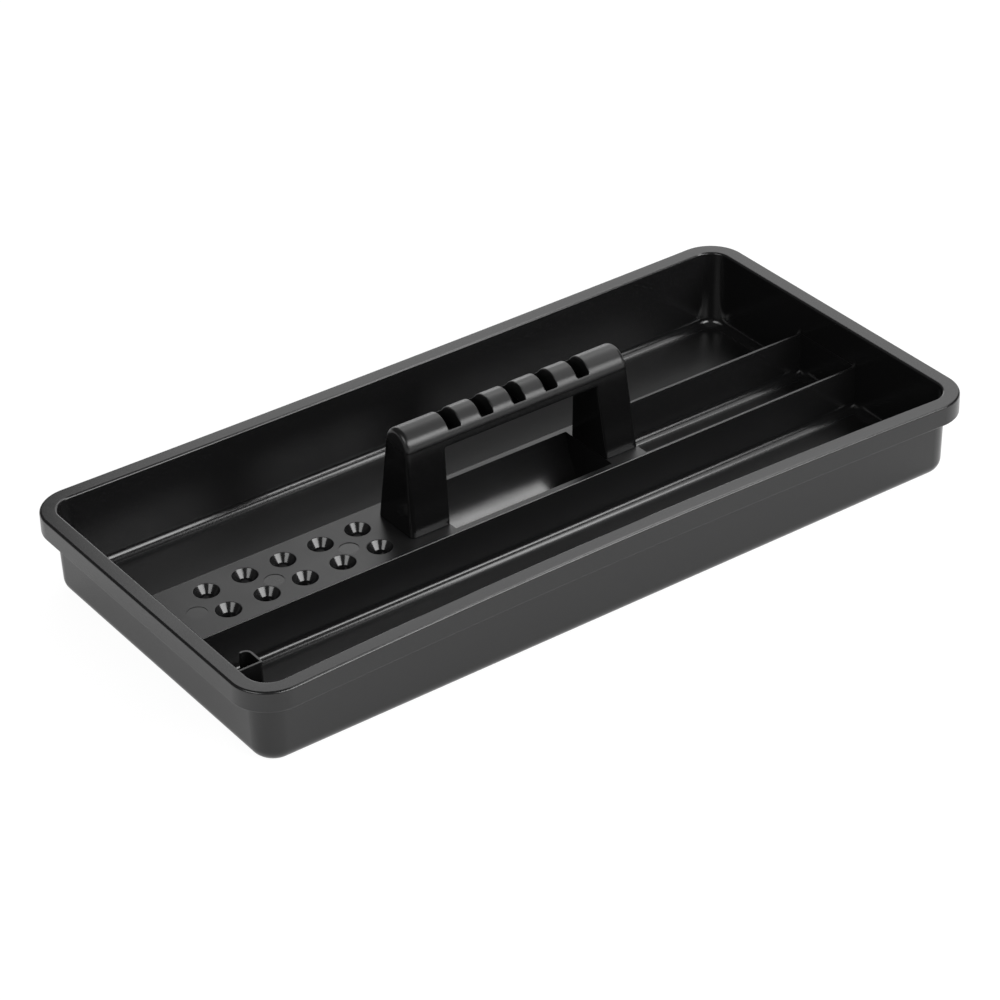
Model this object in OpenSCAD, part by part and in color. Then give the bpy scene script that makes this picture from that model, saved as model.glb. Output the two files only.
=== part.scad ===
// Lift-out tool storage caddy: a long tray moulding with a rolled rim, two low dividers and a
// raised platform with tool sockets, and a hollow arched carry handle that snaps into the platform.
// Millimetres, +Z up, origin at the middle of the base on the surface that the tray stands on,
// +X towards the end with the open middle channel.

/* [Tray] */
// Length of the tray over its rim
tray_len = 450; // [380:1:600]
// Width of the tray over its rim
tray_w = 218.4; // [190:0.2:320]
// Height of the tray from its base to the top of its rim
tray_h = 48.4; // [42:0.2:80]
// Plan radius of the rim's outer corners
corner_r = 21.5; // [18:0.5:36]
// Thickness of the side walls
wall_t = 1.8; // [1.4:0.1:2.6]
// Thickness of the floor
floor_t = 2; // [1.4:0.1:3]
// Lean of the side walls from upright, in degrees
wall_draft = 1.5; // [0.5:0.5:4]
// Inner fillet between the floor and the side walls
floor_fillet = 6; // [3:0.5:8]

/* [Rim] */
// Width of the rim, from its inner edge to the outside of its skirt
rim_w = 9.3; // [7:0.1:10]
// Depth of the skirt below the top of the rim
skirt_h = 11.8; // [6:0.2:18]
// Thickness of the rim and its skirt
rim_t = 1.8; // [1.4:0.1:2.6]
// Rounding of the rim's upper edges
rim_round = 1.4; // [0.5:0.1:1.4]

/* [Dividers and platform] */
// Height of the dividers and the platform above the base
platform_h = 28.4; // [22:0.2:34]
// Width over the two dividers and over the platform, at their top
platform_w = 47.8; // [42:0.2:70]
// Distance of the platform's free end from the middle of the tray
platform_end = 72.6; // [72.6:0.2:110]
// Thickness of the platform's top
plate_t = 2.4; // [1.8:0.1:3]
// Thickness of a divider at its top
divider_t = 1.6; // [1.2:0.1:2.4]
// Lean of the dividers' faces and of the platform's faces, in degrees
divider_draft = 1.5; // [0.5:0.5:3]
// Fillet at the foot of the dividers and the platform
foot_fillet = 6; // [2:0.5:6]
// Height that a divider's top climbs where it meets the end wall
flare = 3; // [1:0.5:5]

/* [Tool sockets] */
// Sockets in each of the two rows
socket_count = 5; // [2:1:5]
// Distance from the tray's end to the first socket
socket_start = 46; // [40:0.5:50]
// Distance between sockets along the tray
socket_pitch = 22.6; // [18:0.1:23]
// Distance between the two rows
row_pitch = 20.6; // [18:0.1:22]
// Diameter of a socket's mouth
mouth_d = 13.7; // [11:0.1:15]
// Diameter of a socket's bore
bore_d = 7.4; // [6:0.1:8.6]
// Depth of a socket's conical mouth
cone_depth = 4.2; // [3.2:0.1:6]
// Depth of a socket, to the end of its sleeve
socket_depth = 10; // [8:0.5:12]
// Wall of a socket's sleeve
sleeve_t = 1.8; // [1.2:0.1:2.2]

/* [Finger scoop] */
// Width of the scoop below the grip
scoop_w = 40.6; // [30:0.2:40.6]
// Depth of the scoop, which reaches almost to the bottom of the tray
scoop_depth = 25.8; // [25:0.1:25.8]

/* [Hooked rib] */
// Length of the rib along the tray, from the end of the cavity
rib_len = 26.7; // [20:0.1:40]
// Distance of the rib from the middle of the tray
rib_y = 57.5; // [45:0.5:62]
// Thickness of the rib
rib_t = 1.5; // [1.2:0.1:2.4]
// Straight part of the rib's return
rib_return = 9; // [4:0.5:12]
// Mean radius of the curl at the end of the return
curl_r = 3.5; // [2.5:0.1:5]
// Turn of the curl, in degrees
curl_turn = 105; // [60:5:150]

/* [Handle] */
// Height of the handle above the platform
handle_rise = 56.8; // [48:0.2:70]
// Length of the handle over its feet
handle_len = 144.6; // [130:0.2:144.8]
// Length of a foot along the handle
foot_len = 22.4; // [18:0.2:26]
// Width of a foot across the handle
foot_w = 31; // [26:0.5:40]
// Width of the grip
grip_w = 20.4; // [16:0.2:24]
// Depth of the grip's straight sides below its round crown
grip_side = 3.9; // [2:0.1:8]
// Lean of the handle's end faces, in degrees
end_lean = 3.2; // [1:0.2:6]
// Lean of the finger gap's end faces, in degrees
gap_lean = 2.7; // [0.5:0.1:4]
// Distance of the finger gap's middle from the middle of the tray
gap_shift = 1.4; // [-2:0.2:2]
// Radius of the handle's shoulders, seen from the side
shoulder_r = 3.5; // [2:0.5:10]
// Wall of the hollow handle
handle_wall = 1.5; // [1.2:0.1:2]
// Pockets that open across the crown of the grip
pocket_count = 5; // [1:1:5]
// Width of a pocket
pocket_w = 7.7; // [4:0.1:9]
// Distance between pockets
pocket_pitch = 20.3; // [14:0.1:21]
// Distance from the side of the grip to the end of a pocket
pocket_side = 1.6; // [1.6:0.1:4]

/* [Snap hooks] */
// Width of a hook
hook_w = 10; // [6:0.5:12]
// Thickness of a hook's tongue
hook_t = 1.8; // [1.4:0.1:2.2]
// Reach of a hook's barb under the platform
barb = 1.1; // [0.8:0.1:1.3]
// Height of a hook's barb
barb_h = 3.2; // [2:0.1:5]
// Clearance between a hook and the edges of its slot
hook_gap = 0.2; // [0.1:0.05:0.4]

/* [Hidden] */
$fn = 96;
plastic = [0.09, 0.09, 0.095];
past = 1;
bite = 0.5;
mouth_step = 0.3;
mouth_margin = 2;
scoop_facets = 12;
scoop_side_r = 44;
scoop_top_tilt = 85;
scoop_low_tilt = 50;
root_share = 0.8;

// Corner centres and plan radii at the level of the rim's top, which walls, cavity and rim share
centre_x = tray_len / 2 - corner_r;
centre_y = tray_w / 2 - corner_r;
inner_r = corner_r - rim_w;
outer_r = inner_r + wall_t;
inner_end = centre_x + inner_r;
base_fillet = floor_fillet + wall_t;
flat_end = centre_x + fillet_centre(outer_r, 0, base_fillet);

half_platform = platform_w / 2;
plate_under = platform_h - plate_t;
hollow_end = platform_end - wall_t;
socket_x = socket_start - tray_len / 2;
mouth_r = mouth_d / 2;
bore_r = bore_d / 2;
cone_z = platform_h - cone_depth;
sleeve_z = platform_h - socket_depth;

scoop_len = handle_len - 2 * foot_len;
scoop_low_r = (scoop_depth - scoop_side_r * (cos(scoop_low_tilt) - cos(scoop_top_tilt)))
    / (1 - cos(scoop_low_tilt));

handle_top = platform_h + handle_rise;
crown_r = grip_w / 2;
crown_z = handle_top - crown_r;
grip_under = crown_z - grip_side;
side_slope = (foot_w / 2 - crown_r) / (crown_z - platform_h);
foot_x = (handle_len - foot_len) / 2;
hook_out = foot_w / 2 - handle_wall;
hook_in = hook_out - hook_t;
hook_root = root_share * handle_wall / side_slope;
barb_tip = barb_h / 3;

// Plan distance from a corner centre to a drafted wall at height z, where r_rim is that
// distance at the level of the rim's top
function wall_r(r_rim, z) = r_rim - (tray_h - z) * tan(wall_draft);

// The same distance for the centre of a fillet between that wall and a floor at height z_low
function fillet_centre(r_rim, z_low, fillet) =
    wall_r(r_rim, z_low) - fillet * (1 - sin(wall_draft)) / cos(wall_draft);

module square_from(x0, z0, x1, z1) {
    translate([x0, z0]) square([x1 - x0, z1 - z0]);
}

// Half section of a drafted block with a filleted lower edge
module drafted_section(r_rim, z_top, z_low, fillet) {
    fillet_x = fillet_centre(r_rim, z_low, fillet);
    polygon([
        [0, z_low], [fillet_x, z_low],
        [fillet_x + fillet * cos(wall_draft), z_low + fillet * (1 - sin(wall_draft))],
        [wall_r(r_rim, z_top), z_top], [0, z_top]
    ]);
    intersection() {
        translate([fillet_x, z_low + fillet]) circle(fillet);
        square_from(0, z_low, wall_r(r_rim, z_top), z_low + fillet);
    }
}

// Carries a half section once round the tray: quarter turns at the corners, straight runs between
module around_tray() {
    for (mx = [0, 1], my = [0, 1])
        mirror([mx, 0, 0]) mirror([0, my, 0]) translate([centre_x, centre_y, 0])
            rotate_extrude(angle = 90) children();
    for (mx = [0, 1])
        mirror([mx, 0, 0]) translate([centre_x, centre_y, 0])
            rotate([90, 0, 0]) linear_extrude(2 * centre_y) children();
    for (my = [0, 1])
        mirror([0, my, 0]) translate([-centre_x, centre_y, 0])
            rotate([90, 0, 90]) linear_extrude(2 * centre_x) children();
}

// Fills the middle of a block that around_tray() carries round
module core(z_low, z_top) {
    translate([-centre_x, -centre_y, z_low])
        cube([2 * centre_x, 2 * centre_y, z_top - z_low]);
}

module drafted_block(r_rim, z_top, z_low, fillet) {
    around_tray() drafted_section(r_rim, z_top, z_low, fillet);
    core(z_low, z_top);
}

// Flat rim, full in the middle, with its skirt hanging from the outer edge
module rim_section() {
    square_from(0, tray_h - rim_t, corner_r - rim_round, tray_h);
    square_from(corner_r - rim_t, tray_h - skirt_h, corner_r, tray_h - rim_round);
    intersection() {
        translate([corner_r - rim_round, tray_h - rim_round]) circle(rim_round);
        square_from(corner_r - rim_round, tray_h - rim_round, corner_r, tray_h);
    }
}

// Section of the space inside the tray, which widens over the rounded inner edge of the rim
module cavity_section() {
    lip_x = inner_r + rim_round * (1 - sin(wall_draft)) / cos(wall_draft);
    lip_z = tray_h - rim_round * (1 - sin(wall_draft));
    difference() {
        union() {
            drafted_section(inner_r, tray_h, floor_t, floor_fillet);
            square_from(0, lip_z, lip_x, tray_h + past);
        }
        translate([lip_x, tray_h - rim_round]) circle(rim_round);
    }
}

module shell() {
    difference() {
        union() {
            drafted_block(outer_r, tray_h - rim_t, 0, base_fillet);
            around_tray() rim_section();
            core(tray_h - rim_t, tray_h);
        }
        around_tray() cavity_section();
        core(floor_t, tray_h + past);
    }
}

// Concave fillet between a floor and a face that leans by draft degrees, where they meet at
// [0, 0]; it reaches a little into what it belongs to
module foot_section(draft) {
    across = foot_fillet * (1 - sin(draft)) / cos(draft);
    tip = [across - foot_fillet * cos(draft), foot_fillet * (1 - sin(draft))];
    difference() {
        polygon([[-bite, -bite], [across, -bite], [across, 0], tip, [tip[0] - bite, tip[1]]]);
        translate([across, foot_fillet]) circle(foot_fillet);
    }
}

// Section of what stands on the floor between y0 and y1 at the platform's height: its faces
// lean outwards to their feet, and each foot has its fillet
module standing_section(y0, y1) {
    lean = (platform_h - floor_t) * tan(divider_draft);
    polygon([
        [y0 - lean, 0], [y1 + lean, 0], [y1 + lean, floor_t],
        [y1, platform_h], [y0, platform_h], [y0 - lean, floor_t]
    ]);
    translate([y1 + lean, floor_t]) foot_section(divider_draft);
    translate([y0 - lean, floor_t]) mirror([1, 0]) foot_section(divider_draft);
}

// Carries a section in Y and Z along X
module along_x(x0, x1) {
    translate([x0, 0, 0]) rotate([90, 0, 90]) linear_extrude(x1 - x0) children();
}

// Carries a section in X and Z along Y
module along_y(y0, y1) {
    translate([0, y1, 0]) rotate([90, 0, 0]) linear_extrude(y1 - y0) children();
}

// One divider, whose top sweeps up where it meets the end wall
module divider() {
    flare_x = centre_x + wall_r(inner_r, platform_h + flare) - flare;
    along_x(hollow_end, inner_end) standing_section(half_platform - divider_t, half_platform);
    along_y(half_platform - divider_t, half_platform) difference() {
        square_from(flare_x, platform_h - past, inner_end, platform_h + flare);
        translate([flare_x, platform_h + flare]) circle(flare);
    }
}

// Section of the space under the platform, whose walls are as thick as the tray's
module hollow_section(z_low, z_top) {
    half_low = half_platform - wall_t + (platform_h - z_low) * tan(divider_draft);
    half_top = half_platform - wall_t + (platform_h - z_top) * tan(divider_draft);
    polygon([[-half_low, z_low], [half_low, z_low], [half_top, z_top], [-half_top, z_top]]);
}

// Round trough along X; grow makes the backing that carries it under the platform
// Points of an arc about a centre, where each angle is the surface's tilt there
function tilted_arc(centre, radius, start, end) = [for (i = [0 : scoop_facets])
    let (tilt = start + (end - start) * i / scoop_facets)
    centre + radius * [sin(tilt), -cos(tilt)]];

// One side of the scoop's outline, from the platform's top down to its flat bottom
function scoop_side(grow) = let (
        side = [scoop_w / 2, 0] - scoop_side_r * [sin(scoop_top_tilt), -cos(scoop_top_tilt)],
        low = side + (scoop_side_r - scoop_low_r) * [sin(scoop_low_tilt), -cos(scoop_low_tilt)])
    concat([[scoop_w / 2 + grow, platform_h]],
        tilted_arc(side, scoop_side_r + grow, scoop_top_tilt, scoop_low_tilt),
        tilted_arc(low, scoop_low_r + grow, scoop_low_tilt - 5, 0));

module scoop(grow) {
    side = scoop_side(grow);
    last = len(side) - 1;
    other = [for (i = [0 : last]) [-side[last - i].x, side[last - i].y]];
    translate([gap_shift - scoop_len / 2 - grow, 0, platform_h]) rotate([90, 0, 90])
        linear_extrude(height = scoop_len + 2 * grow) polygon(concat(side, other));
}

module at_sockets() {
    for (i = [0 : socket_count - 1], side = [-1, 1])
        translate([socket_x + i * socket_pitch, side * row_pitch / 2, 0]) children();
}

// Funnel and short sleeve that carry one socket under the platform's top
module socket_sleeve() {
    funnel_r = mouth_r - (mouth_r - bore_r) * plate_t / cone_depth + sleeve_t;
    rotate_extrude() polygon([
        [0, sleeve_z], [bore_r + sleeve_t, sleeve_z], [bore_r + sleeve_t, cone_z],
        [funnel_r, plate_under], [funnel_r, plate_under + plate_t / 2],
        [0, plate_under + plate_t / 2]
    ]);
}

module socket() {
    rotate_extrude() polygon([
        [0, sleeve_z - past], [bore_r, sleeve_z - past], [bore_r, cone_z],
        [mouth_r, platform_h], [mouth_r, platform_h + past], [0, platform_h + past]
    ]);
}

module at_hooks() {
    for (mx = [0, 1], my = [0, 1])
        mirror([mx, 0, 0]) mirror([0, my, 0]) translate([foot_x, 0, 0]) children();
}

// Slot that a hook's tongue enters, with room for it to bend inwards as its barb passes
module hook_slot() {
    slot_in = hook_in - barb - hook_gap;
    translate([-hook_w / 2 - hook_gap, slot_in, plate_under - past])
        cube([hook_w + 2 * hook_gap, hook_out + hook_gap - slot_in, plate_t + 2 * past]);
}

// Raised platform from the tray's end to just past the handle, open underneath
module platform() {
    difference() {
        union() {
            difference() {
                along_x(-inner_end, platform_end) standing_section(-half_platform, half_platform);
                difference() {
                    along_x(-tray_len / 2, hollow_end) hollow_section(-past, plate_under);
                    scoop(plate_t);
                }
            }
            at_sockets() socket_sleeve();
        }
        scoop(0);
        at_sockets() socket();
        at_hooks() hook_slot();
    }
    along_y(-half_platform, half_platform) translate([platform_end, floor_t]) foot_section(0);
}

// Low rib that leaves the end wall, turns back towards the middle of the tray and curls over
module hooked_rib() {
    free_x = rib_len - inner_end;
    translate([-inner_end, -rib_y - rib_t / 2, 0]) cube([rib_len, rib_t, platform_h]);
    translate([free_x - rib_t, -rib_y, 0]) cube([rib_t, rib_return, platform_h]);
    translate([free_x - rib_t / 2 - curl_r, rib_return - rib_y, 0])
        rotate_extrude(angle = curl_turn)
            square_from(curl_r - rib_t / 2, 0, curl_r + rib_t / 2, platform_h);
}

// Mouth of the hollow under the platform, a little wider than the hollow, through the tray's floor
module hollow_mouth() {
    half = half_platform - wall_t + platform_h * tan(divider_draft) + mouth_step;
    difference() {
        translate([mouth_margin - flat_end, -half, -past])
            cube([hollow_end + mouth_step + flat_end - mouth_margin, 2 * half, floor_t + 2 * past]);
        scoop(plate_t);
    }
}

// What stands inside the tray ends halfway through the walls and the floor, which it is one with
module tray() {
    color(plastic) difference() {
        union() {
            shell();
            intersection() {
                drafted_block(inner_r + wall_t / 2, tray_h - rim_t, floor_t / 2,
                    floor_fillet + wall_t / 2);
                union() {
                    platform();
                    divider();
                    mirror([0, 1, 0]) divider();
                    hooked_rib();
                }
            }
        }
        hollow_mouth();
    }
}

// Side outline of the handle's arch before its finger gap is cut, inset for the hollow
module arch_outline(inset) {
    arc_r = shoulder_r - inset;
    arc_z = handle_top - shoulder_r;
    arc_x = handle_len / 2
        - (shoulder_r + (handle_rise - shoulder_r) * sin(end_lean)) / cos(end_lean);
    foot_end = handle_len / 2 - inset / cos(end_lean);
    side_x = arc_x + arc_r * cos(end_lean);
    side_z = arc_z + arc_r * sin(end_lean);
    polygon([
        [-foot_end, platform_h], [foot_end, platform_h], [side_x, side_z],
        [arc_x, arc_z + arc_r], [-arc_x, arc_z + arc_r], [-side_x, side_z]
    ]);
    for (side = [-1, 1]) intersection() {
        translate([side * arc_x, arc_z]) circle(arc_r);
        square_from(-side_x, arc_z, side_x, handle_top);
    }
}

// Side outline of the finger gap, widened for the walls of the hollow legs
module gap_outline(grow) {
    low = scoop_len / 2 + grow;
    high = low - (grip_under - platform_h) * tan(gap_lean);
    translate([gap_shift, 0])
        polygon([[-low, platform_h], [low, platform_h], [high, grip_under], [-high, grip_under]]);
}

// Cross-section of the handle: round crown over sides that flare to the feet
module grip_section(inset) {
    foot_y = foot_w / 2 - inset;
    side_y = crown_r - inset;
    polygon([[-foot_y, platform_h], [foot_y, platform_h], [side_y, crown_z], [-side_y, crown_z]]);
    translate([0, crown_z]) circle(side_y);
}

module arch(inset) {
    intersection() {
        along_y(-foot_w, foot_w) difference() {
            arch_outline(inset);
            gap_outline(inset);
        }
        along_x(-handle_len, handle_len) grip_section(inset);
    }
}

// Tongue with a barb that catches under the platform's top
module hook() {
    catch_z = plate_under - hook_gap;
    barb_z = catch_z - barb_h;
    along_x(-hook_w / 2, hook_w / 2) polygon([
        [hook_in, barb_z], [hook_out, barb_z], [hook_out + barb, catch_z - barb_tip],
        [hook_out + barb, catch_z], [hook_out, catch_z],
        [hook_out, platform_h + hook_root], [hook_in, platform_h + hook_root]
    ]);
}

// Pockets of the grip from a height upwards; grow gives the outside of the walls round them
module pockets(grow, z_low) {
    half_y = crown_r - pocket_side + grow;
    for (i = [0 : pocket_count - 1])
        translate([gap_shift + (i - (pocket_count - 1) / 2) * pocket_pitch, 0, z_low])
            translate([-pocket_w / 2 - grow, -half_y, 0])
                cube([pocket_w + 2 * grow, 2 * half_y, handle_top + past - z_low]);
}

// Hollow arch whose grip is cored from above by the pockets and from below between them
module carry_handle() {
    color(plastic) {
        difference() {
            union() {
                difference() {
                    arch(0);
                    arch(handle_wall);
                }
                intersection() {
                    arch(handle_wall / 2);
                    pockets(handle_wall, grip_under);
                }
            }
            pockets(0, grip_under + handle_wall);
        }
        at_hooks() hook();
    }
}

tray();
carry_handle();
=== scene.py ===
"""The looks of the lift-out tool storage caddy: its two black mouldings, in finer detail than the
solids, with their satin and glossy surfaces, a white table and soft studio light.

Sizes are in millimetres until a mesh is made. The frame's origin is the middle of the base.
"""

import math

import bmesh
import bpy
import numpy as np
from mathutils import Matrix, Vector


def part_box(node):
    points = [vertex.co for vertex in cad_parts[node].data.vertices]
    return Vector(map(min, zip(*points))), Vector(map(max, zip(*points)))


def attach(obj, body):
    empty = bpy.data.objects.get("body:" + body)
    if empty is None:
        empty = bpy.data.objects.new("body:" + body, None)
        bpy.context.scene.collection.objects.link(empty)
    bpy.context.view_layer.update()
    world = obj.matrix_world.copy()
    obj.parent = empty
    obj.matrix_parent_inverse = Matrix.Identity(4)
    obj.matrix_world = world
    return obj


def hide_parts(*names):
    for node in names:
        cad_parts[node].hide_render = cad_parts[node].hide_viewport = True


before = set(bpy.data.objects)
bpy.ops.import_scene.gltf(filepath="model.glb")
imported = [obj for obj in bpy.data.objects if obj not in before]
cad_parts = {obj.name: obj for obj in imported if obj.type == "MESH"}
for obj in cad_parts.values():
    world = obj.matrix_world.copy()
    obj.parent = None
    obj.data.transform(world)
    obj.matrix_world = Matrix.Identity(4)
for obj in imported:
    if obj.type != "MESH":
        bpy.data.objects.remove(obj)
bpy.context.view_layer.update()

MM = 0.001

# ---------------------------------------------------------------- driving sizes

HALF_LEN, HALF_WIDTH, TRAY_H = np.array(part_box("tray")[1]) / MM
HALF_HANDLE, HALF_FOOT, HANDLE_TOP = np.array(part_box("carry_handle")[1]) / MM

CORNER_R = 21.5
WALL_T = 1.8
FLOOR_T = 2.0
DRAFT = math.radians(1.5)
FLOOR_FILLET = 6.0
RIM_W = 9.3
SKIRT_H = 11.8
RIM_T = 1.8
RIM_ROUND = 1.4
RIM_FILLET = 1.0
SKIRT_FLAT = 0.2
EDGE_R = 0.45

PLATFORM_H = 28.4
HALF_PLATFORM = 23.9
PLATFORM_END = 72.6
PLATFORM_CORNER_R = 0.9
PLATE_T = 2.4
DIVIDER_T = 1.6
INNER_DRAFT = 1.5
FOOT_FILLET = 6.0
FLARE = 3.0

# How far pieces of the tray reach into each other, so that no two faces coincide
PAST = 1.0
SUNK = 1.5
OVERLAP = 3.0
MOUTH_STEP = 0.3
WELL_STEP = 0.1

SOCKET_COUNT = 5
SOCKET_X = 46.0 - HALF_LEN
SOCKET_PITCH = 22.6
SOCKET_Y = 10.3
MOUTH_R = 6.85
BORE_R = 3.7
CONE_DEPTH = 4.2
SOCKET_DEPTH = 10.0
MOUTH_EDGE_R = 0.5
MOUTH_TURN = 100
BORE_BEVEL = 0.12
BEVEL_DROP = 0.15
SLEEVE_T = 1.8
SLEEVE_BEVEL = 0.3

RIB_T = 1.5
RIB_Y = -57.5
RIB_LEN = 26.7
RIB_LEAD = 6
RIB_RETURN = 9.0
RIB_CURL_R = 3.5
RIB_CURL_TURN = 105
RIB_CORNER_R = 1.2
RIB_INNER_R = 0.3
# Growth of the rib's outline at a height: rounded top edge, upright side and foot fillet
RIB_SECTION = ((-0.3, PLATFORM_H), (-0.09, PLATFORM_H - 0.09), (0, PLATFORM_H - 0.3),
               (0.5, FLOOR_T + 1.2), (0.75, FLOOR_T + 0.4), (1.2, FLOOR_T - 0.02),
               (1.2, FLOOR_T - SUNK))

# Slots of the snap hooks, and the hooks
HOOK_X = 61.1
HALF_SLOT = 5.2
SLOT_SIDES = (10.9, 14.2)
HALF_HOOK = 5
HOOK_IN = 12.2
HOOK_OUT = 14.0
HOOK_ROOT = 36
BARB_IN = 13.0
BARB_OUT = 15.1
BARB_LOW = 22.6
BARB_HIGH = 25.8
BARB_LEAN = 0.48

# Left end of the open space under the platform
HOLLOW_START = -206.6

# Round marks of ejector pins: x, y and depth
WITNESS_R = 5.3
WITNESS_MARKS = ((-192.6, -3.2, 0.2), (-147.0, -2.4, 0.24), (-101.6, -1.6, 0.32))

SCOOP_HALF_W = 20.3
SCOOP_DEPTH = 25.8
SCOOP_SIDE_R = 42.0
SCOOP_TOP_TILT = math.radians(85)
SCOOP_LOW_TILT = math.radians(46)
GAP_SHIFT = 1.4
HALF_GAP = 49.9

INNER_R = CORNER_R - RIM_W
OUTER_R = INNER_R + WALL_T
CENTRE_X = HALF_LEN - CORNER_R
CENTRE_Y = HALF_WIDTH - CORNER_R
RIB_FREE = RIB_LEN - CENTRE_X - INNER_R - RIB_T / 2

# How far the long sides' rims bow inwards, which fades out at the base
BOW_FRONT = 5.2
BOW_BACK = 1.3
BOW_BLEND = 8

# ---------------------------------------------------------------- camera

CAMERA_TARGET = (-15.32, -12.44, 28.4)
CAMERA_HEADING = math.radians(34.835)
CAMERA_DIP = math.radians(32.818)
CAMERA_ROLL = math.radians(-1.809)
CAMERA_DISTANCE = 1810.24
CAMERA_LENS = 126.546
CAMERA_SENSOR = 36
CAMERA_NEAR = 0.05
CAMERA_FAR = 20


def make_camera():
    """Camera that looks at its target from the heading and dip, turned by its roll."""
    forward = Vector((math.cos(CAMERA_DIP) * math.sin(CAMERA_HEADING),
                      math.cos(CAMERA_DIP) * math.cos(CAMERA_HEADING),
                      -math.sin(CAMERA_DIP)))
    level = forward.cross(Vector((0, 0, 1))).normalized()
    upright = level.cross(forward)
    side = math.cos(CAMERA_ROLL) * level + math.sin(CAMERA_ROLL) * upright
    back = -forward
    turn = Matrix((side, back.cross(side), back)).transposed().to_4x4()
    place = (Vector(CAMERA_TARGET) - CAMERA_DISTANCE * forward) * MM
    data = bpy.data.cameras.new("photo_camera")
    data.sensor_width = CAMERA_SENSOR
    data.lens = CAMERA_LENS
    data.clip_start = CAMERA_NEAR
    data.clip_end = CAMERA_FAR
    camera = bpy.data.objects.new("photo_camera", data)
    camera.matrix_world = Matrix.Translation(place) @ turn
    bpy.context.scene.collection.objects.link(camera)
    bpy.context.scene.camera = camera


make_camera()

# ---------------------------------------------------------------- table and light

TABLE_HALF = 6
TABLE_DROP = 0.0002
TABLE_ALBEDO = 0.75
# Painted light: the table's glow for all rays but the camera's, brighter towards the tray's left end
# (TABLE_GLOW_LEFT) between FADE_START and FADE_END, in metres
TABLE_GLOW = 0.35
TABLE_GLOW_LEFT = 0.55
FADE_START = -0.3
FADE_END = -0.235
SEEN_ALBEDO = 0.14
SEEN_GLOW = 0.94
ROOM = 0.12

# Name, azimuth and elevation in degrees, distance, width and height in metres, radiance
LAMPS = (
    ("overhead_fill", 5, 55, 2.2, 2.6, 0.7, 1.9),
    ("backdrop_panel", 42, 30, 2.4, 2.0, 1.9, 1.35),
    ("horizon_strip", 64, 11, 2.3, 0.8, 0.4, 2.4),
    ("left_softbox", -167, 37, 1.8, 0.95, 0.55, 5),
    ("right_softbox", -78, 34, 1.8, 1.6, 0.5, 9),
    ("low_softbox", -61, 20, 1.8, 0.68, 0.5, 5),
    ("foot_strip", -17, 60, 1.7, 0.75, 0.26, 7),
)


def node_tree(owner):
    owner.use_nodes = True
    tree = owner.node_tree
    tree.nodes.clear()
    return tree


def blend_by(tree, factor, first, second):
    """Shader that is the first where the factor is 0 and the second where it is 1."""
    mix = tree.nodes.new("ShaderNodeMixShader")
    tree.links.new(factor, mix.inputs[0])
    tree.links.new(first.outputs[0], mix.inputs[1])
    tree.links.new(second.outputs[0], mix.inputs[2])
    return mix


def glow_of(tree, strength):
    glow = tree.nodes.new("ShaderNodeEmission")
    glow.inputs["Strength"].default_value = strength
    return glow


def white_of(tree, albedo):
    white = tree.nodes.new("ShaderNodeBsdfDiffuse")
    white.inputs["Color"].default_value = (albedo, albedo, albedo, 1)
    return white


def lit_and_glowing(tree, albedo, glow):
    """White surface that adds a glow of its own to the light that falls on it."""
    both = tree.nodes.new("ShaderNodeAddShader")
    tree.links.new(white_of(tree, albedo).outputs[0], both.inputs[0])
    tree.links.new(glow.outputs[0], both.inputs[1])
    return both


def side_glow(tree):
    """Painted glow of the table, seen in reflections and bounced light but not by the camera,
    standing in for the light the table throws back, and brighter at the tray's left end.
    """
    glow = glow_of(tree, TABLE_GLOW)
    place = tree.nodes.new("ShaderNodeTexCoord")
    axes = tree.nodes.new("ShaderNodeSeparateXYZ")
    fade = tree.nodes.new("ShaderNodeMapRange")
    fade.inputs["From Min"].default_value = FADE_START
    fade.inputs["From Max"].default_value = FADE_END
    fade.inputs["To Min"].default_value = TABLE_GLOW_LEFT
    fade.inputs["To Max"].default_value = TABLE_GLOW
    tree.links.new(place.outputs["Object"], axes.inputs[0])
    tree.links.new(axes.outputs["X"], fade.inputs["Value"])
    tree.links.new(fade.outputs[0], glow.inputs["Strength"])
    return glow


def make_table():
    """White table. The camera sees it almost white, with the tray's shadow kept."""
    bm = bmesh.new()
    bmesh.ops.create_grid(bm, x_segments=4, y_segments=4, size=TABLE_HALF)
    mesh = bpy.data.meshes.new("table")
    bm.to_mesh(mesh)
    bm.free()
    table = bpy.data.objects.new("table", mesh)
    table.location = (0, 0, -TABLE_DROP)
    bpy.context.scene.collection.objects.link(table)
    material = bpy.data.materials.new("white_table")
    tree = node_tree(material)
    out = tree.nodes.new("ShaderNodeOutputMaterial")
    path = tree.nodes.new("ShaderNodeLightPath")
    seen = lit_and_glowing(tree, SEEN_ALBEDO, glow_of(tree, SEEN_GLOW))
    other = lit_and_glowing(tree, TABLE_ALBEDO, side_glow(tree))
    top = blend_by(tree, path.outputs["Is Camera Ray"], other, seen)
    tree.links.new(top.outputs[0], out.inputs["Surface"])
    table.data.materials.append(material)


def softbox(name, azimuth, elevation, distance, width, height, radiance):
    """Rectangular lamp that looks at the middle of the tray from that bearing, in degrees from +X."""
    a, e = math.radians(azimuth), math.radians(elevation)
    toward = Vector((math.cos(e) * math.cos(a), math.cos(e) * math.sin(a), math.sin(e)))
    lamp = bpy.data.lights.new(name, "AREA")
    lamp.shape = "RECTANGLE"
    lamp.size = width
    lamp.size_y = height
    lamp.energy = radiance * math.pi * width * height
    light = bpy.data.objects.new(name, lamp)
    light.matrix_world = (Matrix.Translation(toward * distance)
                          @ toward.to_track_quat("Z", "Y").to_matrix().to_4x4())
    bpy.context.scene.collection.objects.link(light)
    return light


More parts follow.
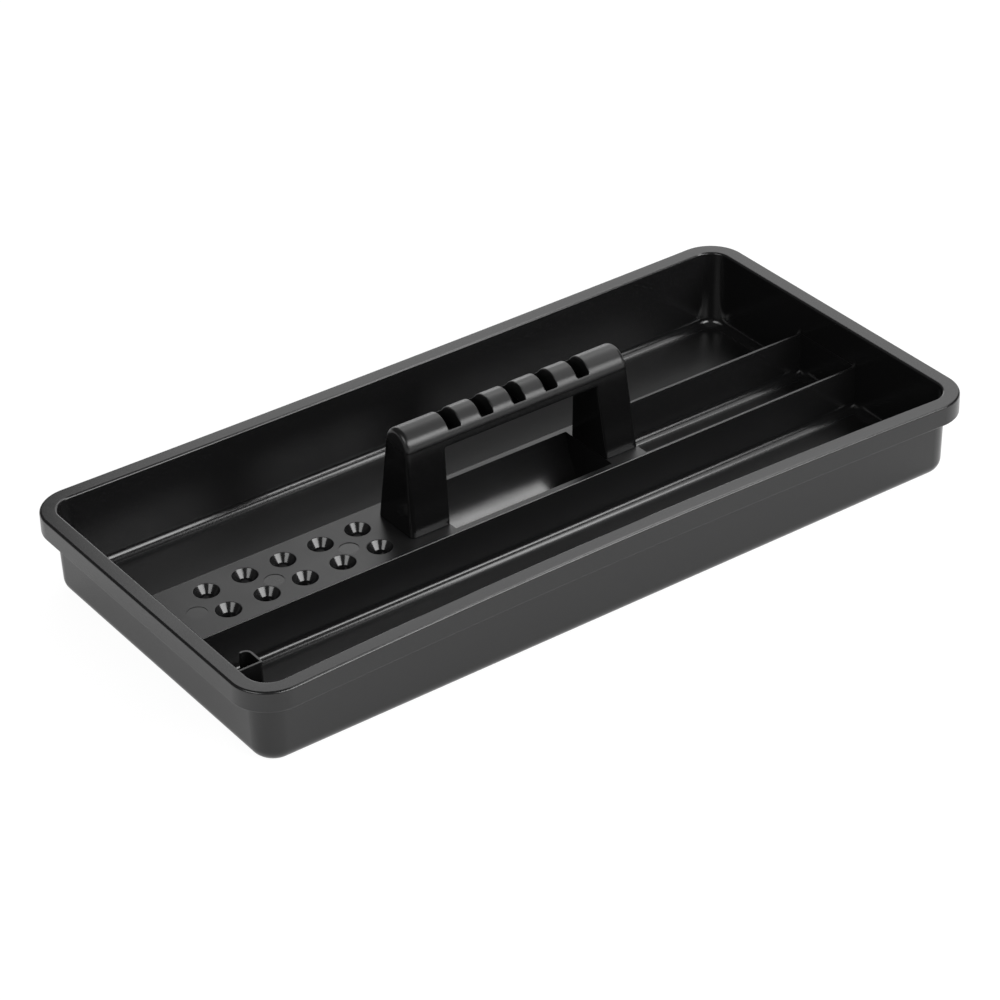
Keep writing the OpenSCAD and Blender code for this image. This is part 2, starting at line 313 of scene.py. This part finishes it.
def make_world():
    """White backdrop for the camera, and a dim room for everything else."""
    world = bpy.data.worlds.new("studio")
    bpy.context.scene.world = world
    tree = node_tree(world)
    out = tree.nodes.new("ShaderNodeOutputWorld")
    path = tree.nodes.new("ShaderNodeLightPath")
    backdrop = tree.nodes.new("ShaderNodeBackground")
    backdrop.inputs["Strength"].default_value = 1
    backdrop.inputs["Color"].default_value = (1, 1, 1, 1)
    room = tree.nodes.new("ShaderNodeBackground")
    room.inputs["Color"].default_value = (1, 1, 1, 1)
    room.inputs["Strength"].default_value = ROOM
    mix = blend_by(tree, path.outputs["Is Camera Ray"], room, backdrop)
    tree.links.new(mix.outputs[0], out.inputs["Surface"])


make_table()
make_world()
lights = {lamp[0]: softbox(*lamp) for lamp in LAMPS}
bpy.context.scene.view_settings.view_transform = "Standard"

# ---------------------------------------------------------------- mesh tools

def arc(centre_r, centre_z, radius, start, end, steps):
    """Points of an arc between two angles in degrees."""
    return [(centre_r + radius * math.cos(a), centre_z + radius * math.sin(a))
            for a in np.radians(np.linspace(start, end, steps + 1))]


def rounded_rectangle(x0, x1, y0, y1, corner_steps, x_steps, y_steps):
    """Places round a rectangle of corner centres: a point, and the direction outwards from it."""
    corners = [(x1, y1), (x0, y1), (x0, y0), (x1, y0)]
    places = []
    for quarter, (cx, cy) in enumerate(corners):
        for angle in np.linspace(quarter, quarter + 1, corner_steps + 1) * math.pi / 2:
            places.append((cx, cy, math.cos(angle), math.sin(angle)))
        nx, ny = corners[(quarter + 1) % 4]
        steps = x_steps if quarter % 2 == 0 else y_steps
        for t in np.arange(1, steps) / steps:
            places.append((cx + t * (nx - cx), cy + t * (ny - cy), *places[-1][2:]))
    return places


def mesh_from_rings(name, rings):
    """Closed solid from rings of points that all have the same number, with both ends filled."""
    bm = bmesh.new()
    loops = [[bm.verts.new(Vector(p) * MM) for p in ring] for ring in rings]
    count = len(loops[0])
    for low, high in zip(loops, loops[1:]):
        for i in range(count):
            j = (i + 1) % count
            bm.faces.new((low[i], low[j], high[j], high[i]))
    bm.faces.new(loops[0][::-1])
    bm.faces.new(loops[-1])
    bmesh.ops.recalc_face_normals(bm, faces=bm.faces)
    mesh = bpy.data.meshes.new(name)
    bm.to_mesh(mesh)
    bm.free()
    return link(name, mesh)


def link(name, mesh):
    made = bpy.data.objects.new(name, mesh)
    bpy.context.scene.collection.objects.link(made)
    return made


def carried_round(name, places, profile):
    """Solid whose profile of (distance from a corner centre, height) is carried round the places."""
    return mesh_from_rings(name, [[(x + dx * r, y + dy * r, z) for x, y, dx, dy in places]
                                  for r, z in profile])


def turned(name, x, y, profile, steps=48):
    """Solid of revolution about an upright axis, from a profile of (radius, height)."""
    angles = np.linspace(0, 2 * math.pi, steps, endpoint=False)
    return mesh_from_rings(name, [[(x + r * math.cos(a), y + r * math.sin(a), z) for a in angles]
                                  for r, z in profile])


def prism_x(name, x0, x1, outline):
    """Outline of (y, z) points carried along X."""
    return mesh_from_rings(name, [[(x, y, z) for y, z in outline] for x in (x0, x1)])


def block(name, low, high):
    (x0, y0, z0), (x1, y1, z1) = low, high
    return prism_x(name, x0, x1, [(y0, z0), (y1, z0), (y1, z1), (y0, z1)])


def combine(base, operation, others):
    """Applies a boolean of base with each of the others, which are used up."""
    for other in others:
        step = base.modifiers.new("step", "BOOLEAN")
        step.operation = operation
        step.solver = "EXACT"
        step.object = other
    shape = base.evaluated_get(bpy.context.evaluated_depsgraph_get())
    mesh = bpy.data.meshes.new_from_object(shape)
    base.modifiers.clear()
    spent = [base.data] + [other.data for other in others]
    base.data = mesh
    for other in others:
        bpy.data.objects.remove(other)
    for old in spent:
        bpy.data.meshes.remove(old)
    return base


# ---------------------------------------------------------------- tray

def wall_x(rim_distance, z):
    """Distance of a drafted wall from its corner centre at height z."""
    return rim_distance - (TRAY_H - z) * math.tan(DRAFT)


def draft_fillet(rim_distance, floor_z, radius, steps):
    """Arc from a floor up into a drafted wall, from (distance, height) on the floor."""
    centre = wall_x(rim_distance, floor_z) - radius * (1 - math.sin(DRAFT)) / math.cos(DRAFT)
    return arc(centre, floor_z + radius, radius, -90, -math.degrees(DRAFT), steps)


def make_shell():
    """Tub with its rim and skirt, as one profile carried round the tray."""
    draft = math.degrees(DRAFT)
    lip = INNER_R + RIM_ROUND * (1 - math.sin(DRAFT)) / math.cos(DRAFT)
    skirt_in = CORNER_R - RIM_T
    skirt_low = TRAY_H - SKIRT_H
    under_rim = TRAY_H - RIM_T
    tip = (RIM_T - SKIRT_FLAT) / 2
    profile = draft_fillet(INNER_R, FLOOR_T, FLOOR_FILLET, 14)
    inner_low = profile[-1][1]
    for z in np.linspace(inner_low, TRAY_H - RIM_ROUND, 8)[1:-1]:
        profile.append((wall_x(INNER_R, z), z))
    profile += arc(lip, TRAY_H - RIM_ROUND, RIM_ROUND, 180 - draft, 90, 8)
    profile += arc(CORNER_R - RIM_ROUND, TRAY_H - RIM_ROUND, RIM_ROUND, 90, 0, 8)
    profile.append((CORNER_R, skirt_low + (SKIRT_H - RIM_ROUND) / 2))
    profile += arc(CORNER_R - tip, skirt_low + tip, tip, 0, -90, 4)
    profile += arc(skirt_in + tip, skirt_low + tip, tip, -90, -180, 4)
    fillet_z = under_rim - RIM_FILLET
    profile += arc(skirt_in - RIM_FILLET, fillet_z, RIM_FILLET, 0, 90, 4)
    profile += arc(wall_x(OUTER_R, under_rim) + RIM_FILLET, fillet_z, RIM_FILLET, 90,
                   180 - draft, 4)
    outer = draft_fillet(OUTER_R, 0, FLOOR_FILLET + WALL_T, 14)
    for z in np.linspace(fillet_z, outer[-1][1], 7)[1:-1]:
        profile.append((wall_x(OUTER_R, z), z))
    profile += outer[::-1]
    places = rounded_rectangle(-CENTRE_X, CENTRE_X, -CENTRE_Y, CENTRE_Y, 20, 60, 24)
    shell = carried_round("tray_shell", places, profile)
    bend_rims(shell.data)
    return shell


def bend_rims(mesh):
    """Bows the long sides inwards, most at the middle of the rim and not at all at the base."""
    for vertex in mesh.vertices:
        x, y, z = vertex.co / MM
        along = max(0.0, 1 - (x / CENTRE_X) ** 2)
        near = min(1.0, max(0.0, (abs(y) - (CENTRE_Y - PAST)) / BOW_BLEND))
        depth = BOW_FRONT if y < 0 else BOW_BACK
        vertex.co.y -= math.copysign(depth * along * near * z / TRAY_H, y) * MM


def standing_profile(top_r):
    """Profile of a wall that stands on the floor: rounded top edge, lean and foot fillet."""
    lean = math.radians(INNER_DRAFT)
    foot_r = top_r + (PLATFORM_H - FLOOR_T) * math.tan(lean)
    centre = foot_r + FOOT_FILLET * (1 - math.sin(lean)) / math.cos(lean)
    profile = arc(top_r - EDGE_R, PLATFORM_H - EDGE_R, EDGE_R, 90, INNER_DRAFT, 4)
    profile += arc(centre, FLOOR_T + FOOT_FILLET, FOOT_FILLET, 180 + INNER_DRAFT, 270, 12)
    profile.append((profile[-1][0], FLOOR_T - SUNK))
    return profile


def make_inner_block():
    """Space up to halfway through the walls and the floor, where what stands inside ends."""
    middle = INNER_R + WALL_T / 2
    profile = draft_fillet(middle, FLOOR_T / 2, FLOOR_FILLET + WALL_T / 2, 10)
    profile.append((wall_x(middle, TRAY_H - RIM_T), TRAY_H - RIM_T))
    places = rounded_rectangle(-CENTRE_X, CENTRE_X, -CENTRE_Y, CENTRE_Y, 12, 1, 1)
    return carried_round("inner_block", places, profile)


def make_platform():
    """Raised platform over its hollow, with sleeves, sockets, finger well, slots and marks."""
    top_r = PLATFORM_CORNER_R
    places = rounded_rectangle(-HALF_LEN + top_r, PLATFORM_END - top_r, top_r - HALF_PLATFORM,
                               HALF_PLATFORM - top_r, 6, 1, 1)
    platform = carried_round("platform", places, standing_profile(top_r))
    combine(platform, "DIFFERENCE", [make_hollow()])
    combine(platform, "UNION", [make_sleeve(x, y) for x, y in socket_places()])
    cutters = [make_scoop(0, 0)] + [make_socket(x, y) for x, y in socket_places()]
    cutters += [make_slot(sx, sy) for sx in (-1, 1) for sy in (-1, 1)]
    cutters += [make_witness(*mark) for mark in WITNESS_MARKS]
    combine(platform, "DIFFERENCE", cutters)
    return platform


def scoop_side(grow):
    """Outline of the scoop's side, from the platform's top to its flat bottom, by its tilt."""
    fall = SCOOP_SIDE_R * (math.cos(SCOOP_LOW_TILT) - math.cos(SCOOP_TOP_TILT))
    low_r = (SCOOP_DEPTH - fall) / (1 - math.cos(SCOOP_LOW_TILT))
    y = SCOOP_HALF_W - SCOOP_SIDE_R * math.sin(SCOOP_TOP_TILT)
    z = PLATFORM_H + SCOOP_SIDE_R * math.cos(SCOOP_TOP_TILT)
    low_y = y + (SCOOP_SIDE_R - low_r) * math.sin(SCOOP_LOW_TILT)
    low_z = z - (SCOOP_SIDE_R - low_r) * math.cos(SCOOP_LOW_TILT)
    side = [(y + (SCOOP_SIDE_R + grow) * math.sin(t), z - (SCOOP_SIDE_R + grow) * math.cos(t))
            for t in np.linspace(SCOOP_TOP_TILT, SCOOP_LOW_TILT, 30)]
    low = [(low_y + (low_r + grow) * math.sin(t), low_z - (low_r + grow) * math.cos(t))
           for t in np.linspace(SCOOP_LOW_TILT, 0, 9)[1:]]
    return [(SCOOP_HALF_W + grow, TRAY_H), *side, *low]


def make_scoop(grow, ends):
    """The scoop under the grip, grown across and at its ends, as the space to take away."""
    side = scoop_side(grow)
    outline = side + [(-y, z) for y, z in side[::-1]]
    return prism_x("scoop", GAP_SHIFT - HALF_GAP - ends, GAP_SHIFT + HALF_GAP + ends, outline)


def make_hollow():
    """Open space under the platform, which goes round the scoop's wall."""
    under = PLATFORM_H - PLATE_T
    lean = math.tan(math.radians(INNER_DRAFT))
    half = [HALF_PLATFORM - WALL_T + (PLATFORM_H - z) * lean for z in (-PAST, under)]
    outline = [(-half[0], -PAST), (half[0], -PAST), (half[1], under), (-half[1], under)]
    hollow = prism_x("hollow", -HALF_LEN, PLATFORM_END - WALL_T, outline)
    return combine(hollow, "DIFFERENCE", [make_scoop(PLATE_T, PLATE_T)])


def socket_places():
    return [(SOCKET_X + i * SOCKET_PITCH, side * SOCKET_Y)
            for i in range(SOCKET_COUNT) for side in (-1, 1)]


def make_sleeve(x, y):
    """Sleeve round a socket's bore, which widens to the platform's plate."""
    low, cone, under = PLATFORM_H - SOCKET_DEPTH, PLATFORM_H - CONE_DEPTH, PLATFORM_H - PLATE_T
    funnel = MOUTH_R - (MOUTH_R - BORE_R) * PLATE_T / CONE_DEPTH + SLEEVE_T
    outer = BORE_R + SLEEVE_T
    return turned("sleeve", x, y, [(outer - SLEEVE_BEVEL, low), (outer, low + SLEEVE_BEVEL),
                                   (outer, cone), (funnel, under),
                                   (funnel, under + PLATE_T / 2)])


def make_socket(x, y):
    """Bore, cone and the rounded edge of its mouth, as the space to take away."""
    slope = math.degrees(math.atan2(CONE_DEPTH, MOUTH_R - BORE_R))
    tangent = MOUTH_R + MOUTH_EDGE_R * math.tan(math.radians(slope) / 2)
    mouth = arc(tangent, PLATFORM_H - MOUTH_EDGE_R, MOUTH_EDGE_R, 90 + slope, MOUTH_TURN, 5)
    cone = PLATFORM_H - CONE_DEPTH
    profile = [(BORE_R, PLATFORM_H - SOCKET_DEPTH - PAST), (BORE_R, cone - BEVEL_DROP),
               (BORE_R + BORE_BEVEL, cone + BORE_BEVEL)]
    profile += mouth + [(mouth[-1][0], PLATFORM_H + PAST)]
    return turned("socket", x, y, profile, 64)


def make_slot(side_x, side_y):
    """Slot in the platform for one snap hook of the handle."""
    y0, y1 = sorted(side_y * y for y in SLOT_SIDES)
    middle = side_x * HOOK_X
    return block("slot", (middle - HALF_SLOT, y0, PLATFORM_H - PLATE_T - PAST),
                 (middle + HALF_SLOT, y1, PLATFORM_H + PAST))


def make_witness(x, y, depth):
    """Round mark that an ejector pin leaves, a little below the platform's surface."""
    return turned("witness", x, y, [(WITNESS_R, PLATFORM_H - depth),
                                    (WITNESS_R, PLATFORM_H + PAST)], 64)


def make_divider(side):
    """Divider from the platform to the right end wall, on one side of the centre channel."""
    half = DIVIDER_T / 2
    y = side * (HALF_PLATFORM - half)
    places = rounded_rectangle(PLATFORM_END - OVERLAP, HALF_LEN, y, y, 5, 1, 1)
    return carried_round("divider", places, standing_profile(half))


def make_flare(side):
    """Sweep of a divider's top up the end wall."""
    wall = CENTRE_X + wall_x(INNER_R, PLATFORM_H + FLARE)
    half = DIVIDER_T / 2
    y = side * (HALF_PLATFORM - half)
    top = PLATFORM_H + FLARE
    outline = arc(wall - FLARE, top, FLARE, -90, 0, 10)
    outline += [(wall + OVERLAP, top), (wall + OVERLAP, PLATFORM_H - PAST),
                (wall - FLARE, PLATFORM_H - PAST)]
    return mesh_from_rings("flare", [[(x, y + s * half, z) for x, z in outline]
                                     for s in (-1, 1)])


def path_outline(path, half):
    """Closed outline at a distance either side of an open path of points."""
    points = np.array(path, float)
    along = np.gradient(points, axis=0)
    along /= np.linalg.norm(along, axis=1)[:, None]
    across = np.stack([-along[:, 1], along[:, 0]], axis=1)
    end = points[-1] + along[-1] * half
    return [*(points + across * half), end, *(points - across * half)[::-1]]


def rib_path(bend):
    """Path of the hooked rib in plan, whose corner has the radius bend."""
    path = [(-HALF_LEN, RIB_Y), (RIB_FREE - RIB_CORNER_R - RIB_LEAD, RIB_Y)]
    path += arc(RIB_FREE - bend, RIB_Y + bend, bend, -90, 0, 6)
    path += [(RIB_FREE, RIB_Y + RIB_RETURN * t) for t in (0.4, 0.7)]
    return path + arc(RIB_FREE - RIB_CURL_R, RIB_Y + RIB_RETURN, RIB_CURL_R, 0, RIB_CURL_TURN, 14)


def make_hooked_rib():
    """Low rib from the end wall that turns back and curls over."""
    rings = []
    for grow, z in RIB_SECTION:
        half = RIB_T / 2 + grow
        path = rib_path(max(RIB_CORNER_R, half + RIB_INNER_R))
        rings.append([(px, py, z) for px, py in path_outline(path, half)])
    return mesh_from_rings("hooked_rib", rings)


def make_mouth():
    """Opening of the platform's hollow through the floor, which leaves the scoop's bottom."""
    lean = math.tan(math.radians(INNER_DRAFT))
    half = HALF_PLATFORM - WALL_T + PLATFORM_H * lean + MOUTH_STEP
    mouth = block("mouth", (HOLLOW_START, -half, -PAST),
                  (PLATFORM_END - WALL_T + MOUTH_STEP, half, FLOOR_T + PAST))
    well_wall = PLATE_T + WELL_STEP
    return combine(mouth, "DIFFERENCE", [make_scoop(well_wall, well_wall)])


def make_tray():
    """Shell joined with the platform, dividers and rib, which end inside its walls."""
    inside = make_platform()
    combine(inside, "UNION", [make_divider(1), make_divider(-1), make_flare(1), make_flare(-1),
                              make_hooked_rib()])
    combine(inside, "INTERSECT", [make_inner_block()])
    tray = make_shell()
    combine(tray, "UNION", [inside])
    combine(tray, "DIFFERENCE", [make_mouth()])
    tray.name = "tray_moulding"
    return tray


# ---------------------------------------------------------------- handle

CROWN_R = 10.2
CROWN_Z = HANDLE_TOP - CROWN_R
GRIP_UNDER = CROWN_Z - 3.9
HANDLE_WALL = 1.5
END_LEAN = math.radians(3.2)
GAP_LEAN = math.radians(2.7)
POCKET_COUNT = 5
POCKET_HALF_W = 3.85
POCKET_PITCH = 20.3
POCKET_HALF_L = 8.6

# Radii of the handle's edges
SHOULDER_R = 2.6
GAP_CORNER_R = 0.8
GAP_EDGE_R = 1.3
POCKET_CORNER_R = 0.4
POCKET_EDGE_R = 0.45
HOLLOW_EDGE_R = 0.3
FOOT_EDGE_R = 0.35

# Grid of the handle's surface, in millimetres, and how its points settle on the surface
HANDLE_GRID = 0.6
GRID_MARGIN = 1.5
GRID_LOW = 21.5
SETTLE_ROUNDS = 4
SETTLE_REACH = 0.3
SETTLE_WIDTH = 0.02
NORMAL_WIDTH = 0.08
NO_SLOPE = 1e-9


def round_max(a, b, radius):
    """Intersection of two distances, with its edge rounded."""
    u, v = np.maximum(radius + a, 0), np.maximum(radius + b, 0)
    return np.minimum(-radius, np.maximum(a, b)) + np.hypot(u, v)


def handle_hull(x, y, z, inset):
    """Distance outside the arch without its finger gap, inset for the hollow."""
    lean = math.atan2(HALF_FOOT - CROWN_R, CROWN_Z - PLATFORM_H)
    below = (np.abs(y) - CROWN_R) * math.cos(lean) - (CROWN_Z - z) * math.sin(lean)
    above = np.hypot(y, z - CROWN_Z) - CROWN_R
    section = np.where(z > CROWN_Z, above, below) + inset
    ends = (np.abs(x) - HALF_HANDLE) * math.cos(END_LEAN) + (z - PLATFORM_H) * math.sin(END_LEAN)
    return round_max(section, ends + inset, SHOULDER_R - inset)


def handle_gap(x, z, grow):
    """Distance outside the finger gap, grown for the legs' inner walls."""
    sides = ((np.abs(x - GAP_SHIFT) - HALF_GAP - grow) * math.cos(GAP_LEAN)
             + (z - PLATFORM_H) * math.sin(GAP_LEAN))
    return round_max(sides, z - GRIP_UNDER, GAP_CORNER_R)


def pocket_distance(x, y):
    """Distance outside the nearest of the pockets across the crown, seen from above."""
    first = GAP_SHIFT - (POCKET_COUNT - 1) / 2 * POCKET_PITCH
    places = np.clip(np.round((x - first) / POCKET_PITCH), 0, POCKET_COUNT - 1)
    return round_max(np.abs(x - first - places * POCKET_PITCH) - POCKET_HALF_W,
                     np.abs(y) - POCKET_HALF_L, POCKET_CORNER_R)


def hook_distance(x, y, z):
    """Distance outside the snap hooks, each a tongue with a slanted barb."""
    hook_y = np.abs(y)
    tongue = np.maximum.reduce([HOOK_IN - hook_y, hook_y - HOOK_OUT, BARB_LOW - z, z - HOOK_ROOT])
    slant = (hook_y - HOOK_OUT) * math.cos(BARB_LEAN) - (z - BARB_LOW) * math.sin(BARB_LEAN)
    barb = np.maximum.reduce([BARB_IN - hook_y, hook_y - BARB_OUT, z - BARB_HIGH, BARB_LOW - z,
                              slant])
    return np.maximum(np.minimum(tongue, barb), np.abs(np.abs(x) - HOOK_X) - HALF_HOOK)


def handle_distance(x, y, z):
    """Distance outside the whole handle: hollow arch, walled pockets, cut feet and hooks."""
    solid = round_max(handle_hull(x, y, z, 0), -handle_gap(x, z, 0), GAP_EDGE_R)
    hollow = np.maximum(handle_hull(x, y, z, HANDLE_WALL), -handle_gap(x, z, HANDLE_WALL))
    pocket = pocket_distance(x, y)
    walls = np.maximum(pocket - HANDLE_WALL, GRIP_UNDER - z)
    solid = round_max(solid, -np.maximum(hollow, -walls), HOLLOW_EDGE_R)
    solid = round_max(solid, -np.maximum(pocket, GRIP_UNDER + HANDLE_WALL - z), POCKET_EDGE_R)
    solid = round_max(solid, PLATFORM_H - z, FOOT_EDGE_R)
    return np.minimum(solid, hook_distance(x, y, z))


def cell_corner(array, shape, corner):
    """Values of a grid at one corner of all its cells."""
    i, j, k = corner
    return array[i:i + shape[0], j:j + shape[1], k:k + shape[2]]


def surface_cells(value):
    """Which cells of a grid the surface crosses, and the mean of its crossings in each."""
    inside = value < 0
    shape = np.array(value.shape) - 1
    total, weight = np.zeros((*shape, 3)), np.zeros(shape)
    for a in [(i, j, k) for i in (0, 1) for j in (0, 1) for k in (0, 1)]:
        for axis in range(3):
            if a[axis] == 0:
                b = tuple(1 if n == axis else a[n] for n in range(3))
                va, vb = cell_corner(value, shape, a), cell_corner(value, shape, b)
                cross = cell_corner(inside, shape, a) != cell_corner(inside, shape, b)
                t = np.where(cross, va / np.where(cross, va - vb, 1), 0)
                for n in range(3):
                    total[..., n] += np.where(cross, a[n] + (t if n == axis else 0), 0)
                weight += cross
    used = weight > 0
    return used, total[used] / weight[used][:, None]


def quads_across(inside, index, axis):
    """Quads round the grid's edges along an axis that the surface crosses."""
    shape = index.shape
    u, v = (axis + 1) % 3, (axis + 2) % 3
    first = np.take(inside, range(shape[axis]), axis)
    second = np.take(inside, range(1, shape[axis] + 1), axis)
    edges = np.argwhere(first != second)
    edges = edges[(edges[:, u] > 0) & (edges[:, v] > 0)]
    edges = edges[(edges[:, u] < shape[u]) & (edges[:, v] < shape[v])]
    flip = ~first[tuple(edges.T)]
    ring = []
    for du, dv in ((-1, -1), (0, -1), (0, 0), (-1, 0)):
        cell = edges.copy()
        cell[:, u] += du
        cell[:, v] += dv
        ring.append(index[tuple(cell.T)])
    ring = np.stack(ring, axis=1)
    ring[flip] = ring[flip][:, ::-1]
    return ring


def skin(distance, low, high, step):
    """Vertices and quads of the surface where a distance function is zero."""
    axes = [np.arange(a, b + step, step) for a, b in zip(low, high)]
    value = distance(*np.meshgrid(*axes, indexing="ij"))
    used, means = surface_cells(value)
    index = np.full(used.shape, -1)
    index[used] = np.arange(used.sum())
    points = (np.argwhere(used) + means) * step + np.array(low)
    return points, np.concatenate([quads_across(value < 0, index, axis) for axis in range(3)])


def slope_of(distance, points, width):
    """Direction in which a distance function grows, at each point."""
    slopes = []
    for axis in range(3):
        shift = np.zeros(3)
        shift[axis] = width
        slopes.append(distance(*(points + shift).T) - distance(*(points - shift).T))
    slopes = np.stack(slopes, axis=1)
    return slopes / np.maximum(np.linalg.norm(slopes, axis=1), NO_SLOPE)[:, None]


def make_handle():
    """Mesh of the handle, whose points and normals come from its distance function."""
    low = (-HALF_HANDLE - GRID_MARGIN, -HALF_FOOT - GRID_MARGIN, GRID_LOW)
    high = (HALF_HANDLE + GRID_MARGIN, HALF_FOOT + GRID_MARGIN, HANDLE_TOP + GRID_MARGIN)
    points, quads = skin(handle_distance, low, high, HANDLE_GRID)
    for _ in range(SETTLE_ROUNDS):
        away = np.clip(handle_distance(*points.T)[:, None], -SETTLE_REACH, SETTLE_REACH)
        points = points - away * slope_of(handle_distance, points, SETTLE_WIDTH)
    normals = slope_of(handle_distance, points, NORMAL_WIDTH)
    mesh = bpy.data.meshes.new("carry_handle_moulding")
    mesh.from_pydata(points * MM, [], quads.tolist())
    mesh.validate()
    mesh.shade_smooth()
    mesh.normals_split_custom_set_from_vertices(normals)
    return link("carry_handle_moulding", mesh)


# ---------------------------------------------------------------- plastic

# Colours, roughnesses, and unevenness as a share of the roughness
TRAY_BLACK = (0.0075, 0.0075, 0.0077)
HANDLE_BLACK = (0.005, 0.005, 0.0051)
SATIN = 0.37
GRIP = 0.32
SHELL = 0.22
POLISHED = 0.17
FLOW = 0.5
RUBBED = 0.35

# Waves per metre, and depth of the grain in metres
FLOW_SCALE = 9
RUBBED_SCALE = 60
GRAIN_SCALE = 1500
TRAY_GRAIN = 0.000006
GRIP_GRAIN = 0.00001

# Where the tray's roughness changes, in millimetres, and how softly
BEYOND = 300
SHELL_DEPTH = 9
SHELL_SOFT = 1
TOP_DEPTH = 0.3
TOP_MARGIN = 0.6
TOP_SOFT = 0.2
TOP_SIDE_SOFT = 0.3
FLOOR_DEPTH = 1
FLOOR_RISE = 0.5
FLOOR_SOFT = 0.4
GRIP_DROP = 1
GRIP_SOFT = 6
SHARP_ANGLE = 30


def band(tree, value, low, high, soft):
    """1 where a value lies between two limits, with soft edges."""
    rise = tree.nodes.new("ShaderNodeMapRange")
    rise.interpolation_type = "SMOOTHSTEP"
    fall = tree.nodes.new("ShaderNodeMapRange")
    fall.interpolation_type = "SMOOTHSTEP"
    for node, a, b in ((rise, low - soft, low + soft), (fall, high + soft, high - soft)):
        tree.links.new(value, node.inputs["Value"])
        node.inputs["From Min"].default_value = a * MM
        node.inputs["From Max"].default_value = b * MM
    both = tree.nodes.new("ShaderNodeMath")
    both.operation = "MULTIPLY"
    tree.links.new(rise.outputs[0], both.inputs[0])
    tree.links.new(fall.outputs[0], both.inputs[1])
    return both.outputs[0]


def calc(tree, operation, a, b):
    """Result of an operation on two values, each a number or an output of a node."""
    node = tree.nodes.new("ShaderNodeMath")
    node.operation = operation
    for socket, value in zip(node.inputs, (a, b)):
        if isinstance(value, (int, float)):
            socket.default_value = value
        else:
            tree.links.new(value, socket)
    return node.outputs[0]


def noise(tree, place, scale, detail):
    node = tree.nodes.new("ShaderNodeTexNoise")
    node.inputs["Scale"].default_value = scale
    node.inputs["Detail"].default_value = detail
    tree.links.new(place, node.inputs["Vector"])
    return node.outputs[0]


def wander(tree, waves, amount):
    """Waves moved to run about zero, and scaled."""
    return calc(tree, "MULTIPLY", calc(tree, "SUBTRACT", waves, 0.5), amount)


def plastic(name, black, roughness, grain_depth):
    """Black polypropylene whose roughness is made from the place on the piece.

    A fine grain breaks up the highlights, slow waves in the gloss show how the plastic flowed, and
    small rubbed patches are a little shinier.
    """
    material = bpy.data.materials.new(name)
    tree = node_tree(material)
    out = tree.nodes.new("ShaderNodeOutputMaterial")
    surface = tree.nodes.new("ShaderNodeBsdfPrincipled")
    surface.inputs["Base Color"].default_value = (*black, 1)
    surface.inputs["IOR"].default_value = 1.5
    place = tree.nodes.new("ShaderNodeTexCoord").outputs["Object"]
    axes = tree.nodes.new("ShaderNodeSeparateXYZ")
    tree.links.new(place, axes.inputs[0])
    flow = wander(tree, noise(tree, place, FLOW_SCALE, 2), FLOW)
    rubbed = wander(tree, noise(tree, place, RUBBED_SCALE, 4), RUBBED)
    base = roughness(tree, *axes.outputs)
    uneven = calc(tree, "ADD", 1, calc(tree, "ADD", flow, rubbed))
    tree.links.new(calc(tree, "MULTIPLY", base, uneven), surface.inputs["Roughness"])
    bump = tree.nodes.new("ShaderNodeBump")
    bump.inputs["Strength"].default_value = 1
    bump.inputs["Distance"].default_value = grain_depth
    tree.links.new(noise(tree, place, GRAIN_SCALE, 2), bump.inputs["Height"])
    tree.links.new(bump.outputs["Normal"], surface.inputs["Normal"])
    tree.links.new(surface.outputs[0], out.inputs["Surface"])
    return material


def between(tree, low, high, share):
    """Low where the share is 0, and high where it is 1."""
    return calc(tree, "ADD", low, calc(tree, "MULTIPLY", share, high - low))


def tray_roughness(tree, x, y, z):
    """Polished, but duller on the compartments' floors, the platform's top and the outside."""
    def size(value):
        return calc(tree, "ABSOLUTE", value, 0)

    outside = calc(tree, "MAXIMUM",
                   band(tree, size(y), HALF_WIDTH - SHELL_DEPTH, BEYOND, SHELL_SOFT),
                   band(tree, size(x), HALF_LEN - SHELL_DEPTH, BEYOND, SHELL_SOFT))
    top = calc(tree, "MULTIPLY",
               band(tree, z, PLATFORM_H - TOP_DEPTH, PLATFORM_H + TOP_DEPTH, TOP_SOFT),
               band(tree, size(y), -PAST, HALF_PLATFORM - TOP_MARGIN, TOP_SIDE_SOFT))
    floor = band(tree, z, FLOOR_T - FLOOR_DEPTH, FLOOR_T + FLOOR_RISE, FLOOR_SOFT)
    dull = calc(tree, "MULTIPLY", calc(tree, "MAXIMUM", top, floor), SATIN)
    return calc(tree, "MAXIMUM", between(tree, POLISHED, SHELL, outside), dull)


def handle_roughness(tree, x, y, z):
    """A grained grip on polished legs."""
    return between(tree, GRIP, POLISHED, band(tree, z, 0, CROWN_Z - GRIP_DROP, GRIP_SOFT))


def finish_piece(piece, material, node):
    """Gives a piece its plastic, and puts it in the place of its solid."""
    piece.data.materials.clear()
    piece.data.materials.append(material)
    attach(piece, "root")
    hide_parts(node)


def smooth_by_angle(piece, degrees):
    """Smooth shading with flat faces kept flat, and edges over the angle kept sharp."""
    mesh = piece.data
    mesh.shade_smooth()
    mesh.set_sharp_from_angle(angle=math.radians(degrees))
    weighted = piece.modifiers.new("weighted", "WEIGHTED_NORMAL")
    weighted.keep_sharp = True
    weighted.mode = "FACE_AREA"


tray = make_tray()
smooth_by_angle(tray, SHARP_ANGLE)
finish_piece(tray, plastic("tray_plastic", TRAY_BLACK, tray_roughness, TRAY_GRAIN), "tray")
handle = make_handle()
finish_piece(handle, plastic("handle_plastic", HANDLE_BLACK, handle_roughness, GRIP_GRAIN),
             "carry_handle")

lit_by_foot_light = bpy.data.collections.new("lit_by_foot_light")
lit_by_foot_light.objects.link(tray)
lights["foot_strip"].light_linking.receiver_collection = lit_by_foot_light
